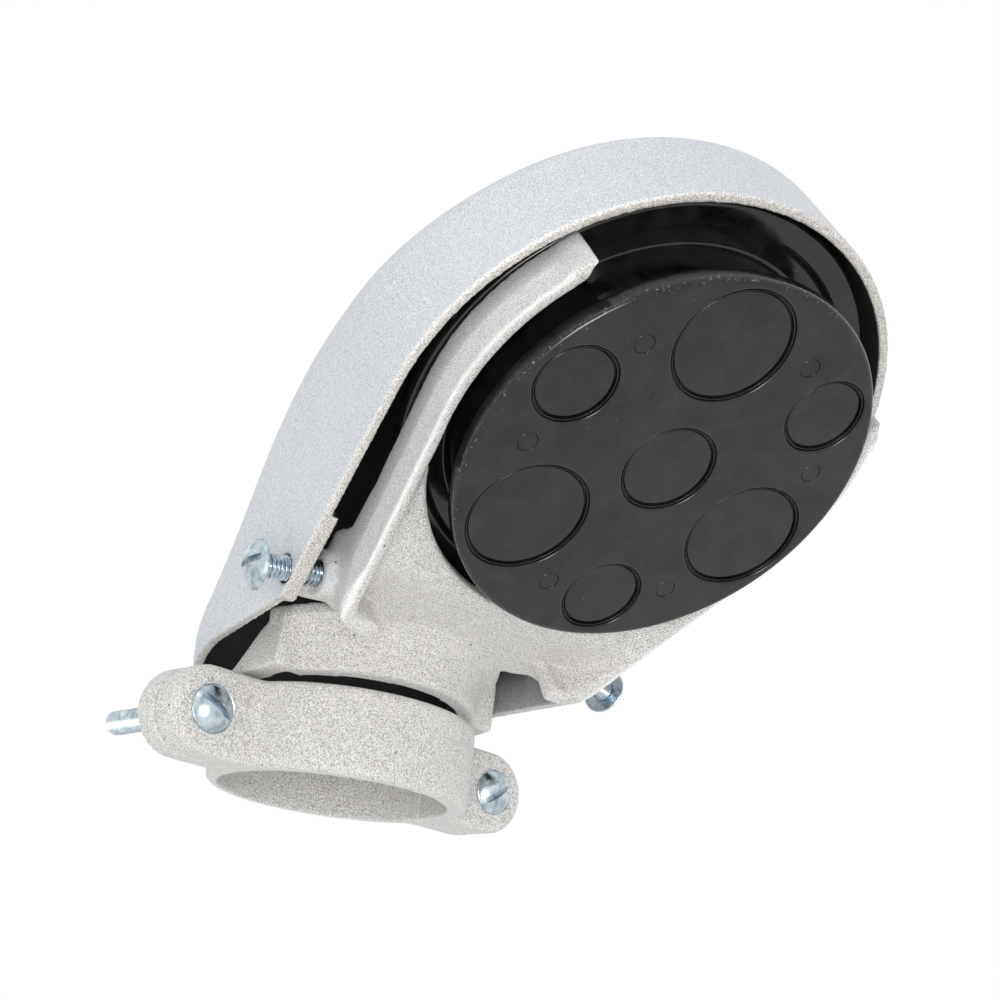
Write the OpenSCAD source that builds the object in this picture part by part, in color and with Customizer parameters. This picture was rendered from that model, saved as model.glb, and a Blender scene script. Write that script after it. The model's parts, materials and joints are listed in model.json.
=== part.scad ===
// Clamp-on service entrance weatherhead: a cast hood over a cast body that
// grips the top of a vertical conduit and carries a moulded insulator.
// Origin: centre of the clamp bore at its bottom face. +Z runs up the conduit,
// -Y points to the front and +X to the right as seen from the front.
// The "face" frame lies on the insulator: X right, Y up the face, Z out of it,
// so a depth behind the face is a negative Z there.

/* [Conduit clamp] */
// Radius of the bore that grips the conduit
bore_r = 37; // [30:0.5:44]
// Height of the clamp along the conduit
clamp_h = 28; // [22:1:36]
// Wall of the removable front strap
strap_wall = 6.5; // [4:0.5:9]
// Wall of the cast rear half of the clamp
rear_wall = 5.5; // [4:0.5:8]
// How far the joint between the two halves lies in front of the bore's centre
parting_y = 2.5; // [0:0.5:6]
// Gap between the ears where the two halves meet
parting_gap = 0.3; // [0.2:0.1:1.5]
// Distance of each clamp screw from the middle
ear_x = 59.8; // [56:0.2:64]
// Thickness of the strap's ears
strap_ear_t = 11; // [7:0.5:13]
// Thickness of the rear ears
rear_ear_t = 10.5; // [8:0.5:14]
// Rounding of the clamp's outer edges
clamp_round = 1.5; // [0.5:0.25:2.5]

/* [Screws] */
// Outside diameter of the screw threads
screw_d = 7.94; // [6:0.02:9]
// Diameter of the round heads
head_d = 15.5; // [13:0.5:18]
// Height of the round heads
head_h = 4.6; // [3.5:0.1:6]
// Width of the driver slot
slot_w = 2; // [1.2:0.1:2.6]
// Depth of the driver slot
slot_depth = 2.4; // [1.5:0.1:3]
// Length of a clamp screw under its head
clamp_screw_len = 56; // [45:1:65]
// Length of a hood screw under its head
hood_screw_len = 31.8; // [28:0.2:36]
// How far a hood screw's head stands off the hood
hood_screw_standoff = 8.4; // [2:0.2:9]
// Radial clearance of a screw in its tapped hole
thread_clearance = 0.05; // [0.02:0.01:0.1]
// Radial clearance of a screw in a plain hole
hole_clearance = 0.5; // [0.3:0.1:1]
// How far the left clamp screw's slot is turned
clamp_slot_left = 60; // [0:5:180]
// How far the right clamp screw's slot is turned
clamp_slot_right = 40; // [0:5:180]
// How far the left hood screw's slot is turned
hood_slot_left = 10; // [0:5:180]
// How far the right hood screw's slot is turned
hood_slot_right = 70; // [0:5:180]

/* [Face] */
// Angle of the insulator's face, from upright towards facing down
face_tilt = 52.3; // [45:0.5:60]
// Distance of the face's centre in front of the conduit's axis
face_y = 138.5; // [130:0.5:146]
// Height of the face's centre above the clamp's bottom
face_z = 89.3; // [84:0.5:96]

/* [Insulator] */
// Radius of the front disc
disc_r = 66.3; // [62:0.1:68]
// Thickness of the front disc's edge
disc_t = 6.5; // [4:0.5:9]
// Radius of the waist behind the disc
waist_r = 59.5; // [54:0.5:61]
// Radius of the seating flange
flange_r = 75.6; // [72:0.1:78]
// Width of the flat band round the flange
flange_band = 8.4; // [6:0.2:10]
// Depth of the flange's front behind the face
flange_depth = 25; // [22:0.5:28]
// Thickness of the flange
flange_t = 6; // [4:0.5:9]
// Wall of the moulding
insulator_wall = 3; // [2:0.25:4]
// Radius of the three large knockouts
ko_large_r = 18.5; // [16:0.5:19]
// Distance of the large knockouts from the centre
ko_large_pitch = 44.2; // [42:0.2:45]
// Radius of the three small knockouts
ko_small_r = 12.3; // [10:0.1:13]
// Distance of the small knockouts from the centre
ko_small_pitch = 50; // [47:0.2:51]
// Radius of the centre knockout
ko_centre_r = 14.4; // [12:0.2:17]
// Width of the groove round a knockout
ko_groove_w = 1.2; // [0.6:0.1:1.6]
// Depth of the groove round a knockout
ko_groove_depth = 0.9; // [0.4:0.1:1.5]
// How far the insulator is turned in its seat
insulator_turn = -12; // [-60:1:60]

/* [Yoke] */
// How far the yoke reaches out past the insulator's flange
yoke_margin = 1.1; // [0.5:0.1:3]
// Height of the arms' centre above the face's centre
yoke_centre = 2; // [0:0.5:4]
// Width of the yoke's front edge
yoke_edge = 6.2; // [5:0.1:8]
// How much the arms' outside leans in over their depth
yoke_draft = 2.2; // [0.5:0.1:3]
// Depth of the arms' front edge behind the face
yoke_front = 8; // [7.5:0.1:10]
// Angle at which the arms end, above level with the face's centre
arm_angle = 27; // [15:1:40]
// Lean of the yoke's straight sides
yoke_taper = 15.5; // [12:0.5:18]
// Distance of the yoke's bottom edge below the face's centre
yoke_drop = 96.5; // [94:0.5:99]
// Rounding of the yoke's lower corners
corner_r = 12; // [8:0.5:16]
// Half width of the gap in the bottom edge, where the neck is
notch_x = 37; // [35:0.5:40]
// Depth of the side skirts' back edge behind the face
skirt_depth = 34; // [32:0.5:38]
// Wall of the side skirts
skirt_wall = 5; // [4:0.5:6]
// Radius of the bosses for the hood screws
boss_r = 7.5; // [6:0.5:8.5]
// How far the bosses stand out from the skirts
boss_out = 2.2; // [1:0.2:4]

/* [Floor and neck] */
// Thickness of the plate between the arms, and of the floor
plate_t = 5; // [3.5:0.5:6]
// Depth of the plate's front behind the face
plate_depth = 11; // [10:0.5:13]
// Distance below the face's centre at which the plate bends into the floor
bend_drop = 72; // [70:1:78]
// Angle between the plate and the floor
floor_angle = 28.7; // [24:0.5:32]
// Radius inside the neck, past the conduit's end
neck_r = 38.2; // [38:0.1:42]
// Wall of the neck at its rim
neck_wall = 6.3; // [4:0.1:8]
// Height of the neck's rim above the clamp, measured at the conduit's axis
neck_gap = 1.2; // [1:0.1:3]
// How far the neck flares out where it meets the floor
neck_flare = 6.5; // [4:0.5:8]
// Slope of the neck's rim, which is higher in front
rim_slope = 5; // [2:0.5:8]
// Radius of the throat that stops the conduit
throat_r = 34; // [30:0.5:36]
// Outer face of the side webs, from the middle
web_x = 46.5; // [45:0.5:49]
// Distance of the floor's back edge in front of the conduit's axis
floor_back_y = 17.5; // [14:0.5:22]

/* [Hood] */
// Gap between the yoke and the hood's wall round the nose
hood_gap = 4.7; // [3.5:0.1:8]
// Drop of the nose's centre below the face's centre
nose_drop = 4; // [2:0.5:6]
// Outer radius of the hood round its heel
heel_r = 57.4; // [56:0.1:60]
// Drop of the heel's centre below the face's centre
heel_drop = 127.6; // [124:0.2:131]
// Depth of the hood's rim behind the face
rim_depth = 20; // [18:0.5:23]
// Wall of the hood
hood_wall = 3.2; // [2.5:0.1:4]
// Depth of the hood's straight side walls
side_depth = 31; // [26:0.2:36]
// How much the side walls lean in over their depth
side_draft = 0.4; // [0.2:0.1:1.5]
// Depth of the crest behind the face, over the nose's centre
crest_nose = 83; // [76:0.5:90]
// Depth that the crest bends towards between nose and heel
crest_middle = 106; // [95:0.1:115]
// Depth of the crest over the heel's centre
crest_heel = 77; // [70:0.1:88]
// Fullness of the dome at the nose, where 1 is a cone and 2 is round
full_nose = 1.35; // [1.2:0.05:1.6]
// Fullness of the dome at the heel
full_heel = 2.25; // [1.8:0.05:2.6]
// How much fuller the dome is at its shoulder
full_shoulder = 1; // [0.6:0.1:1.2]
// Where the shoulder is, below the face's centre
shoulder_drop = 53; // [40:1:65]
// How far the shoulder reaches up and down
shoulder_reach = 57; // [48:1:66]
// Length over which the crest's ends are eased
foot_blend = 30; // [10:1:40]
// Thickness of the pads at the hood screws
pad_t = 5.8; // [4:0.2:6]
// How far the hood's lower edge lies below its screws' axes
hood_edge_margin = 7.7; // [6:0.1:9]
// How far that edge falls from front to back
hood_edge_fall = 13.4; // [10:0.1:14]
// Distance of a hood screw below the nose's centre, along the side wall
hood_screw_along = 72.9; // [70:0.2:76]
// Depth of a hood screw behind the face
hood_screw_depth = 25.4; // [24.8:0.1:27]
// Gap between the insulator's flange and what holds it
seat_gap = 0.3; // [0.2:0.1:0.6]

/* [Hidden] */
$fn = 96;

cast_light = "#d6d2cc";
cast_blue = "#c9cdd2";
moulded_black = "#26262a";
zinc = "#c4ced2";

// Reach of the blocks that cut pieces off along a plane
far = 300;
// Overlap that fuses shapes of one casting
fuse = 0.5;
edge_chamfer = 1;

screw_r = screw_d / 2;
head_r = head_d / 2;
tapped_r = screw_r + thread_clearance;
plain_hole_r = screw_r + hole_clearance;
ear_r = clamp_h / 2;
strap_seam_y = -parting_y - parting_gap;
strap_face_y = strap_seam_y - strap_ear_t;

yoke_r = flange_r + yoke_margin;
yoke_open_r = yoke_r - yoke_edge;
nose_r = yoke_r + hood_gap + hood_wall;
yoke_back = flange_depth - seat_gap;
flange_back = flange_depth + flange_t;
// Centre of the rounding of a lower corner of the yoke
corner_v = corner_r - yoke_drop;
corner_x = (yoke_r - corner_r + (corner_v - yoke_centre) * sin(yoke_taper)) / cos(yoke_taper);
// Where along its straight side the yoke gets its deeper skirt, clear of the flange
skirt_start = 39;

neck_out_r = neck_r + neck_wall;
rim_z = clamp_h + neck_gap;
// Height and place of the bend between plate and floor, in the part's frame
bend_y = -face_y + bend_drop * sin(face_tilt) + plate_depth * cos(face_tilt);
bend_z = face_z - bend_drop * cos(face_tilt) + plate_depth * sin(face_tilt);
floor_lean = face_tilt + floor_angle;
floor_run = (-floor_back_y - bend_y) / sin(floor_lean);
function floor_z(y) = bend_z - (y - bend_y) / tan(floor_lean);
floor_middle = plate_t / sin(floor_lean) / 2;
// Where the neck's wall ends at each side, just in front of the floor's back edge
neck_back_y = floor_back_y + 1.5;

// Lean of the hood's side walls, which touch both the nose's and the heel's round
hood_taper = asin((nose_r - heel_r) / (heel_drop - nose_drop));
// Heights of the hood screws where they cross the hood's wall, and of its lower edge
hood_screw_v = -nose_r * sin(hood_taper) - hood_screw_along * cos(hood_taper) - nose_drop;
hood_screw_z = face_z + hood_screw_v * cos(face_tilt) + hood_screw_depth * sin(face_tilt);
hood_edge_front = hood_screw_z - hood_edge_margin;
hood_edge_back = hood_edge_front - hood_edge_fall;
// Distance of the body's side, along a hood screw's axis, from the nose's centre
screw_at_body = (yoke_r - (nose_drop + yoke_centre) * sin(yoke_taper)
    - hood_screw_along * sin(yoke_taper - hood_taper)) / cos(yoke_taper - hood_taper);

// Moves children from the face's frame to the part's own
module on_face() {
    translate([0, -face_y, face_z]) rotate([90 + face_tilt, 0, 0]) children();
}

// The frame of a side wall of the hood: X out of the wall, measured from the
// nose's centre, Y along the wall and Z out of the face
module on_side(side) {
    mirror([side < 0 ? 1 : 0, 0, 0])
        on_face() translate([0, -nose_drop, 0]) rotate([0, 0, -hood_taper]) children();
}

// The frame of the floor: Y runs from its back edge to the bend, Z is its front
module on_floor() {
    on_face() translate([0, -bend_drop, -plate_depth]) rotate([floor_angle, 0, 0]) children();
}

module both_sides() {
    children();
    mirror([1, 0, 0]) children();
}

// ---- Screws ----

// A slotted round-head screw, with its head's seat at the origin and its tip down
module screw(length, slot_turn) {
    dome_r = (head_r * head_r + head_h * head_h) / (2 * head_h);
    tip = 1;
    color(zinc) {
        difference() {
            intersection() {
                translate([0, 0, head_h - dome_r]) sphere(r = dome_r);
                cylinder(r = head_r, h = head_h);
            }
            rotate([0, 0, slot_turn])
                translate([-head_d, -slot_w / 2, head_h - slot_depth])
                    cube([2 * head_d, slot_w, head_h]);
        }
        translate([0, 0, tip - length]) cylinder(r = screw_r, h = length - tip + fuse);
        translate([0, 0, -length]) cylinder(r1 = screw_r - tip, r2 = screw_r, h = tip);
    }
}

module clamp_screw(side, slot_turn) {
    translate([side * ear_x, strap_face_y, ear_r]) rotate([90, 0, 0])
        screw(clamp_screw_len, slot_turn);
}

module hood_screw(side, slot_turn) {
    on_side(side)
        translate([nose_r + hood_screw_standoff, -hood_screw_along, -hood_screw_depth])
            rotate([0, 90, 0]) screw(hood_screw_len, slot_turn);
}

// ---- Clamp ----

// One round ear, its seam face at y = 0 and its outer face at y = thickness
module ear(thickness) {
    rotate([-90, 0, 0]) {
        cylinder(r = ear_r, h = thickness - clamp_round);
        translate([0, 0, thickness - clamp_round])
            cylinder(r1 = ear_r, r2 = ear_r - clamp_round, h = clamp_round);
    }
}

// The bar that joins an ear to the ring, with the same section as the ear's
module ear_bar(thickness) {
    translate([bore_r + fuse, 0, 0]) rotate([90, 0, 90]) linear_extrude(ear_x - bore_r - fuse)
        polygon([[0, 0], [thickness - clamp_round, 0], [thickness, clamp_round],
                 [thickness, clamp_h - clamp_round], [thickness - clamp_round, clamp_h],
                 [0, clamp_h]]);
}

// A half of the clamp: half a ring with two ears, its seam at y = 0, open to -Y
module clamp_half(wall, thickness) {
    out_r = bore_r + wall;
    rotate_extrude(angle = 180) polygon([
        [bore_r, 0], [out_r - clamp_round, 0], [out_r, clamp_round],
        [out_r, clamp_h - clamp_round], [out_r - clamp_round, clamp_h], [bore_r, clamp_h]]);
    both_sides() {
        translate([ear_x, 0, ear_r]) ear(thickness);
        ear_bar(thickness);
    }
}

module clamp_strap() {
    color(cast_light)
        difference() {
            translate([0, strap_seam_y, 0]) mirror([0, 1, 0])
                clamp_half(strap_wall, strap_ear_t);
            translate([0, 0, -far / 2]) cylinder(r = bore_r, h = far);
            both_sides()
                translate([ear_x, far / 2, ear_r]) rotate([90, 0, 0])
                    cylinder(r = plain_hole_r, h = far);
        }
}

// ---- Body ----

// Section of the yoke's edge: distance out from the outline, and height on the face
edge_section = [
    [-yoke_edge, -yoke_back], [-yoke_edge, -yoke_front - edge_chamfer],
    [-yoke_edge + edge_chamfer, -yoke_front], [-edge_chamfer, -yoke_front],
    [0, -yoke_front - edge_chamfer], [-yoke_draft, -yoke_back]];

// Section of the deeper skirt behind that edge
skirt_section = [
    [-yoke_draft - skirt_wall, -skirt_depth],
    [-yoke_draft - skirt_wall, fuse - yoke_back],
    [-yoke_draft, fuse - yoke_back], [-yoke_draft, -skirt_depth]];

// Stations along the right-hand outline from an arm's tip to the notch, each with
// its x, its height on the face, the turn of its normal and its share of full width
arm_steps = 20;
corner_steps = 12;
tip_steps = 5;
tip_turn = yoke_edge / 2 / yoke_r * 180 / PI;
function on_arc(a, share) =
    [yoke_r * cos(a), yoke_centre + yoke_r * sin(a), a, share];
tip_stations = [for (i = [0:tip_steps - 1]) let (k = 88 * (1 - i / tip_steps))
    on_arc(arm_angle + tip_turn * sin(k), cos(k))];
arm_stations = [for (i = [0:arm_steps])
    on_arc(arm_angle - i * (arm_angle + yoke_taper) / arm_steps, 1)];
skirt_stations = [[
    yoke_r * cos(yoke_taper) - skirt_start * sin(yoke_taper),
    yoke_centre - yoke_r * sin(yoke_taper) - skirt_start * cos(yoke_taper), -yoke_taper, 1]];
corner_stations = [for (i = [0:corner_steps]) let (
    a = -yoke_taper - i * (90 - yoke_taper) / corner_steps)
    [corner_x + corner_r * cos(a), corner_v + corner_r * sin(a), a, 1]];
notch_stations = [[notch_x, -yoke_drop, -90, 1]];

// A section swept along a list of stations
module sweep(section, stations) {
    n = len(section);
    middle = (section[0][0] + section[n - 1][0]) / 2;
    last = n * (len(stations) - 1);
    polyhedron(
        points = [for (s = stations, p = section) let (r = middle + (p[0] - middle) * s[3])
            [s[0] + r * cos(s[2]), s[1] + r * sin(s[2]), p[1]]],
        faces = concat(
            [[for (i = [n - 1:-1:0]) i]],
            [for (j = [0:len(stations) - 2], i = [0:n - 1]) let (a = n * j, k = (i + 1) % n)
                each [[a + i, a + k, a + n + k], [a + i, a + n + k, a + n + i]]],
            [[for (i = [0:n - 1]) last + i]]));
}

module yoke_edge_all() {
    both_sides() {
        sweep(edge_section,
              concat(tip_stations, arm_stations, corner_stations, notch_stations));
        sweep(skirt_section, concat(skirt_stations, corner_stations, notch_stations));
    }
}

// Everything inside the yoke's outline, drawn in by half its edge
module yoke_prism() {
    inset = yoke_edge / 2;
    turn_r = corner_r - inset;
    side_x = (yoke_r - inset) * cos(yoke_taper);
    side_v = yoke_centre - (yoke_r - inset) * sin(yoke_taper);
    low_x = corner_x + turn_r * cos(yoke_taper);
    low_v = corner_v - turn_r * sin(yoke_taper);
    low = corner_v - turn_r;
    translate([0, 0, -far / 2]) {
        linear_extrude(far)
            polygon([[side_x, side_v], [low_x, low_v], [corner_x, low],
                     [-corner_x, low], [-low_x, low_v], [-side_x, side_v]]);
        both_sides() translate([corner_x, corner_v, 0]) cylinder(r = turn_r, h = far);
    }
}

// The plate between the arms, and the floor that runs back from it to the neck
module plate_and_floor() {
    intersection() {
        union() {
            on_face() translate([-far / 2, -bend_drop, -plate_depth - plate_t])
                cube([far, bend_drop / 2, plate_t]);
            on_floor() translate([-far / 2, -floor_run, -plate_t])
                cube([far, floor_run + fuse, plate_t]);
        }
        union() {
            on_face() yoke_prism();
            cylinder(r = neck_out_r + neck_flare, h = far);
        }
    }
}

// The neck's front wall, flared where it meets the floor
module neck() {
    top = floor_z(-neck_out_r);
    difference() {
        rotate_extrude() polygon([
            [throat_r, top], [neck_r, top - 2], [neck_r, clamp_h], [neck_out_r - 0.4, clamp_h],
            [neck_out_r, top - 10], [neck_out_r + neck_flare * 0.2, top - 5],
            [neck_out_r + neck_flare * 0.5, top - 1.8], [neck_out_r + neck_flare, top],
            [neck_out_r + neck_flare, top + 2 * plate_t], [throat_r, top + 2 * plate_t]]);
        translate([-far / 2, -neck_back_y, 0]) cube(far);
        on_floor() translate([-far / 2, -far, -plate_t - far]) cube([far, 2 * far, far]);
    }
}

// The web that ties one side of the neck to the rear half of the clamp
module side_web() {
    seam_z = clamp_h - ear_r / 2;
    back_y = rear_ear_t - parting_y;
    front_y = neck_back_y + 5.5;
    foot_y = floor_back_y - 4;
    translate([neck_r, 0, 0]) rotate([90, 0, 90]) linear_extrude(web_x - neck_r)
        polygon([[-front_y, clamp_h], [-front_y, floor_z(-front_y) + floor_middle],
                 [-neck_back_y, floor_z(-neck_back_y) + floor_middle],
                 [-foot_y, floor_z(-foot_y)], [0, clamp_h + 3.5],
                 [back_y, clamp_h - clamp_round], [back_y, seam_z], [-parting_y, seam_z],
                 [-parting_y, clamp_h]]);
}

// All that the neck's rim leaves free above the strap
module below_rim() {
    rotate([90, 0, 90]) translate([0, 0, -far / 2]) linear_extrude(far)
        polygon([[-parting_y, 0], [-parting_y, rim_z],
                 [-far, rim_z + (far - parting_y) * tan(rim_slope)], [-far, 0]]);
}

module rear_clamp() {
    translate([0, -parting_y, 0]) clamp_half(rear_wall, rear_ear_t);
}

module screw_boss() {
    on_side(1) translate([screw_at_body - skirt_wall - 5, -hood_screw_along, -hood_screw_depth])
        rotate([0, 90, 0]) cylinder(r = boss_r, h = skirt_wall + 5 + boss_out);
}

module screw_hole(radius) {
    on_side(1) translate([0, -hood_screw_along, -hood_screw_depth])
        rotate([0, 90, 0]) cylinder(r = radius, h = far);
}

module body() {
    color(cast_light)
        difference() {
            union() {
                difference() {
                    union() {
                        on_face() yoke_edge_all();
                        plate_and_floor();
                        neck();
                        both_sides() side_web();
                    }
                    below_rim();
                }
                rear_clamp();
                both_sides() screw_boss();
            }
            on_face() translate([0, 0, -far / 2]) cylinder(r = yoke_open_r, h = far);
            translate([0, 0, -far / 2]) cylinder(r = bore_r, h = far / 2 + clamp_h + fuse);
            translate([0, 0, clamp_h]) cylinder(r = throat_r, h = far);
            both_sides() {
                screw_hole(tapped_r);
                translate([ear_x, far / 2, ear_r]) rotate([90, 0, 0])
                    cylinder(r = tapped_r, h = far);
            }
        }
}

// ---- Insulator ----

module knockout(radius, pitch, angle) {
    rotate([0, 0, angle]) translate([pitch, 0, -ko_groove_depth])
        difference() {
            cylinder(r = radius + ko_groove_w / 2, h = 2 * ko_groove_depth);
            translate([0, 0, -1]) cylinder(r = radius - ko_groove_w / 2, h = far);
        }
}

module insulator() {
    band_r = flange_r - flange_band;
    recess = flange_depth + flange_t / 2;
    inner_r = waist_r - insulator_wall;
    color(moulded_black) on_face()
        difference() {
            rotate_extrude(convexity = 4) polygon([
                [0, 0], [disc_r - 1, 0], [disc_r - 0.3, -0.3], [disc_r, -1], [disc_r, 1.5 - disc_t],
                [disc_r - 1.5, -disc_t], [waist_r + 1.5, -disc_t - 1], [waist_r, -disc_t - 2.5],
                [waist_r, 1.5 - recess], [waist_r + 1.5, -recess], [band_r - 0.5, -recess],
                [band_r, -flange_depth], [flange_r - 0.8, -flange_depth],
                [flange_r, -flange_depth - 0.8], [flange_r, -flange_back],
                [inner_r, -flange_back], [inner_r, -insulator_wall], [0, -insulator_wall]]);
            knockout(ko_centre_r, 0, 0);
            for (i = [0:2]) {
                knockout(ko_large_r, ko_large_pitch, insulator_turn + 120 * i);
                knockout(ko_small_r, ko_small_pitch, insulator_turn + 120 * i + 60);
            }
        }
}

// ---- Hood ----

// Steps of the hood's outline and of its dome
nose_steps = 22;
side_steps = 12;
heel_steps = 12;
dome_steps = 9;

// Eases a crest foot's start and stop over a blend length each way
function eased(x) = x < -foot_blend ? 0 : x > foot_blend ? x
    : (x + foot_blend) * (x + foot_blend) / (4 * foot_blend);
function foot(v) = -nose_drop - eased(-nose_drop - v) + eased(-heel_drop - v);

// Left half of the egg-shaped outline, from the nose's top to the heel's bottom,
// each point with the foot of the crest that it closes towards
function outline_point(r, a, centre) = let (v = r * sin(a) + centre)
    [r * cos(a), v, foot(v)];
function outline_half(inset) = concat(
    [for (i = [0:nose_steps]) let (a = 90 + i * (90 + hood_taper) / nose_steps)
        outline_point(nose_r - inset, a, -nose_drop)],
    [for (i = [1:side_steps - 1]) let (k = i / side_steps)
        outline_point(nose_r + (heel_r - nose_r) * k - inset, 180 + hood_taper,
                      -nose_drop - (heel_drop - nose_drop) * k)],
    [for (i = [0:heel_steps]) let (a = 180 + hood_taper + i * (90 - hood_taper) / heel_steps)
        outline_point(heel_r - inset, a, -heel_drop)]);

function outline(inset) = let (half = outline_half(inset), n = len(half))
    concat(half, [for (i = [n - 2:-1:1]) [-half[i][0], half[i][1], half[i][2]]]);

// Depth of the crest over a point of the middle line
function crest(v) = let (t = (-nose_drop - v) / (heel_drop - nose_drop))
    (1 - t) * (1 - t) * crest_nose + 2 * t * (1 - t) * crest_middle + t * t * crest_heel;

// Fullness of the dome's section at a height on the face
function fullness(v) = let (
    k = max(0, min(1, (nose_r - nose_drop - v) / (nose_r - nose_drop + heel_drop))))
    full_nose + (full_heel - full_nose) * k * k * (3 - 2 * k)
        + full_shoulder * exp(-pow((v + shoulder_drop) / shoulder_reach, 2));

// One ring of the hood's form: the outline drawn towards the crest by a scale
function ring_point(p, scale, depth) =
    [p[0] * scale, p[2] + (p[1] - p[2]) * scale, -depth];

function dome_point(p, angle, inset, lean) = let (
    n = fullness(p[1]),
    start = rim_depth + side_depth)
    ring_point(p, lean * pow(cos(angle), 2 / n),
               start + (crest(p[2]) - inset - start) * pow(sin(angle), 2 / n));

// The hood's closed form, drawn in by an inset, its front carried out past the rim
module hood_form(inset, front) {
    loop = outline(inset);
    n = len(loop);
    half = n / 2;
    lean = 1 - side_depth * tan(side_draft) / nose_r;
    rings = concat(
        [[for (p = loop) ring_point(p, 1, front)]],
        [for (j = [0:dome_steps]) let (a = 86 * pow(j / dome_steps, 1.15))
            [for (p = loop) dome_point(p, a, inset, lean)]]);
    last = (len(rings) - 1) * n;
    polyhedron(
        points = [for (ring = rings) each ring],
        faces = concat(
            [[for (i = [n - 1:-1:0]) i]],
            [for (j = [0:len(rings) - 2], i = [0:n - 1]) let (k = (i + 1) % n)
                each [[j * n + i, (j + 1) * n + k, (j + 1) * n + i],
                      [j * n + i, j * n + k, (j + 1) * n + k]]],
            [[last, last + 1, last + n - 1]],
            [for (i = [1:half - 2]) each [
                [last + i, last + i + 1, last + n - i],
                [last + i + 1, last + n - i - 1, last + n - i]]],
            [[last + half - 1, last + half, last + half + 1]]),
        convexity = 6);
}

// Everything under the hood's lower edge, which falls towards the back
module below_hood() {
    rotate([90, 0, 90]) translate([0, 0, -far / 2]) linear_extrude(far)
        polygon([[-far, hood_edge_front], [-50, hood_edge_front], [-23, hood_edge_front - 3],
                 [0, hood_edge_front - 5.7], [14, hood_edge_front - 9.2],
                 [34, hood_edge_back], [far, hood_edge_back], [far, -far], [-far, -far]]);
}

// A pad inside the wall that thickens it round a screw
module screw_pad() {
    length = 34;
    depth = 24;
    on_side(1)
        translate([nose_r - pad_t, -hood_screw_along - length / 2 + 8, -rim_depth - depth])
            cube([pad_t - hood_wall + fuse, length, depth]);
}

// A rib inside the hood that keeps the insulator's flange against the arms
module stop_rib(angle) {
    on_face() rotate([0, 0, angle])
        translate([flange_r - 3.6, -1.5, -flange_back - seat_gap - 14])
            cube([nose_r - hood_wall - flange_r + 3.6 + fuse / 2, 3, 14]);
}

module hood() {
    color(cast_blue)
        difference() {
            union() {
                difference() {
                    on_face() hood_form(0, rim_depth);
                    on_face() hood_form(hood_wall, rim_depth - 5);
                }
                both_sides() screw_pad();
                for (angle = [0, 180]) stop_rib(angle);
            }
            below_hood();
            both_sides() screw_hole(plain_hole_r);
        }
}

body();
hood();
insulator();
clamp_strap();
clamp_screw(-1, clamp_slot_left);  // clamp_screw_left
clamp_screw(1, clamp_slot_right);  // clamp_screw_right
hood_screw(-1, hood_slot_left);  // hood_screw_left
hood_screw(1, hood_slot_right);  // hood_screw_right
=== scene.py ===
"""Looks of a clamp-on service entrance weatherhead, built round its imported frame."""

import functools
import json
import math

import bmesh
import bpy
import numpy as np
from mathutils import Matrix, Vector, geometry


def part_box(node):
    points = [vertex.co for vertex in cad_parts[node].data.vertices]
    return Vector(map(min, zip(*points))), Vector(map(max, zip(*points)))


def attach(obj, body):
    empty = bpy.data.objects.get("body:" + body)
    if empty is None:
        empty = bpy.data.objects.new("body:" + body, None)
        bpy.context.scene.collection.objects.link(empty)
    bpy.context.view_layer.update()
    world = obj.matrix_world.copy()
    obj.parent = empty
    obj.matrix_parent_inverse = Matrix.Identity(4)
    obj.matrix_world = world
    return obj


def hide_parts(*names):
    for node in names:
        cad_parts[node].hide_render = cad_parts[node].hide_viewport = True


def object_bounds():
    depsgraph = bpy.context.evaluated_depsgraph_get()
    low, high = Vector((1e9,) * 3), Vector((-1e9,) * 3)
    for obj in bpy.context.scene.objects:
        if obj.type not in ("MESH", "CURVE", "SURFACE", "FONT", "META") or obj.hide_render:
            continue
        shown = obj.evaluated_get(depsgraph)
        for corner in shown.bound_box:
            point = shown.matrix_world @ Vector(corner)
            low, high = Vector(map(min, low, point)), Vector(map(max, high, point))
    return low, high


bl_info = {
    "name": "Service Entrance Weatherhead",
    "version": (1, 0, 0),
    "blender": (4, 5, 0),
    "location": "3D View > Sidebar > Weatherhead",
    "description": "Dresses the frame of a clamp-on weatherhead and sets up its studio",
    "category": "Object",
}

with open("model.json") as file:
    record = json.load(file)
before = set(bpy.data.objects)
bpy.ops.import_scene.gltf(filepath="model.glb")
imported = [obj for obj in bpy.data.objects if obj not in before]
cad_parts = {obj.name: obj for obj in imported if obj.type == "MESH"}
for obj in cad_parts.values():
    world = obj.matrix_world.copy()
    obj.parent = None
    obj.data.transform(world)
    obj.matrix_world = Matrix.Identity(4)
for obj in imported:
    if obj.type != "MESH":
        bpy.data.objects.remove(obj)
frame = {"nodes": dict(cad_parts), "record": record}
CAD_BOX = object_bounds()
TURNS = {joint["name"]: joint for joint in frame["record"]["behaviour"]["joints"]}
MM = 0.001


def linear(code):
    """An sRGB hex colour as linear red, green, blue."""
    shares = [int(code[i : i + 2], 16) / 255 for i in (1, 3, 5)]
    return [s / 12.92 if s <= 0.04045 else ((s + 0.055) / 1.055) ** 2.4 for s in shares]


def pivot(name):
    """Where a joint lies, and its axis."""
    return Vector(TURNS[name]["pos_m"]), Vector(TURNS[name]["axis"]).normalized()


def axis_frame(origin, out, across):
    """A matrix whose Z points out and whose X is as near to across as it can be."""
    side = (across - out * across.dot(out)).normalized()
    return Matrix.Translation(origin) @ Matrix((side, out.cross(side), out)).transposed().to_4x4()


# ---- Settings ----


def length(name, text, value, **more):
    return bpy.props.FloatProperty(
        name=name, description=text, default=value, min=0, precision=5, unit="LENGTH", **more)


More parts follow.
